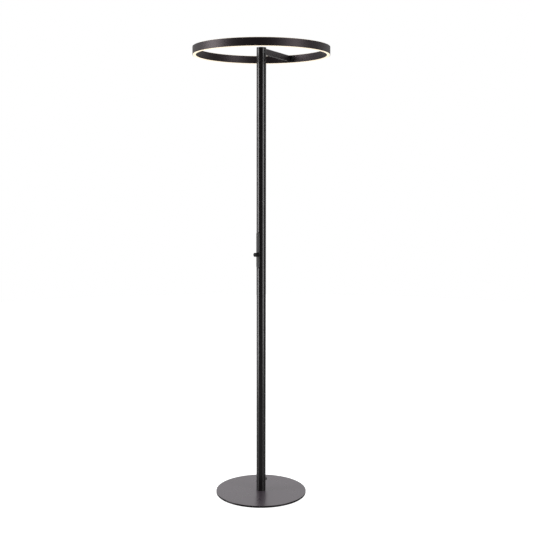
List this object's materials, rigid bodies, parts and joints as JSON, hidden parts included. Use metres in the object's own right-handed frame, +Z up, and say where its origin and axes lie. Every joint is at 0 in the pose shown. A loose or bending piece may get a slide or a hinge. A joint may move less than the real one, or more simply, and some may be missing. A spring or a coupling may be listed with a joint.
{
  "type": "floor lamp",
  "caption": "Ring floor lamp: round steel foot, straight black pole with a rotary dimmer, and a slim luminous ring on a short arm that tilts in a friction swivel.",
  "frame": {"origin": "on the floor, under the centre of the foot and the pole", "axes": "+Z up along the pole; +Y from the pole along the arm to the ring's bracket; the dimmer's knob faces -Y turned 19.5 degrees towards -X"},
  "size_m": [0.54, 0.54, 1.8],
  "materials": {
    "black_powder": "satin black-brown powder coat on steel and aluminium",
    "foot_powder": "fine matt powder coat on the steel foot",
    "steel": "zinc-plated steel",
    "aluminium": "machined aluminium",
    "black_screw": "black-oxide screw steel",
    "black_plastic": "moulded black plastic with a fine grain",
    "grey_plastic": "moulded dark grey plastic with a fine grain",
    "rubber": "matt black rubber",
    "nylon": "natural nylon",
    "opal": "opal acrylic lit warm white from behind",
    "circuit": "green circuit board",
    "led_strip": "white flexible circuit with LEDs",
    "white_plastic": "white moulded driver case",
    "foam": "grey closed-cell foam",
    "cable": "black sheathed cable"
  },
  "bodies": {
    "stand": {"base_plate": "foot_powder", "foot_pad_1": "rubber", "foot_pad_2": "rubber", "foot_pad_3": "rubber", "foot_pad_4": "rubber", "foot_pad_5": "rubber", "foot_pad_6": "rubber", "base_screw_1": "steel", "base_screw_2": "steel", "base_screw_3": "steel", "foot_plug": "steel", "pole_lower": "black_powder", "pole_middle": "black_powder", "pole_upper": "black_powder", "pole_coupler_lower": "steel", "pole_coupler_upper": "steel", "top_cap": "black_powder", "head_block": "aluminium", "gland_body": "black_plastic", "gland_nut": "black_plastic", "gland_cap": "black_plastic", "gland_seal": "rubber", "control_plate": "grey_plastic", "plate_screw_upper": "black_screw", "plate_screw_lower": "black_screw", "control_carrier": "black_plastic", "dimmer_body": "steel", "dimmer_nut": "steel", "dimmer_board": "circuit", "led_driver": "white_plastic", "driver_pad_lower": "foam", "driver_pad_upper": "foam", "driver_lead": "cable", "head_lead": "cable", "swivel_collar": "black_powder", "swivel_washer": "nylon", "swivel_spring": "steel"},
    "knob": {"dimmer_knob": "black_plastic", "dimmer_shaft": "aluminium"},
    "head": {"swivel_nut": "steel", "swivel_spindle": "steel", "arm_tube": "black_powder", "arm_root_block": "aluminium", "arm_end_block": "aluminium", "arm_screw_upper": "black_screw", "arm_screw_lower": "black_screw", "ring_bracket": "black_powder", "bracket_screw_left": "black_screw", "bracket_screw_right": "black_screw", "ring_channel": "black_powder", "ring_splice": "steel", "led_strip_top": "led_strip", "led_strip_bottom": "led_strip", "diffuser_top": "opal", "diffuser_bottom": "opal", "ring_lead": "cable"}
  },
  "joints": [
    {"name": "head_tilt", "type": "hinge", "parent": "stand", "child": "head", "pos_m": [0, 0, 1.7865], "axis": [0, 1, 0], "range_deg": [-75, 75]},
    {"name": "dimmer_turn", "type": "hinge", "parent": "stand", "child": "knob", "pos_m": [0, 0, 0.98425], "axis": [-0.3338, -0.9426, 0], "range_deg": [-150, 150]}
  ]
}
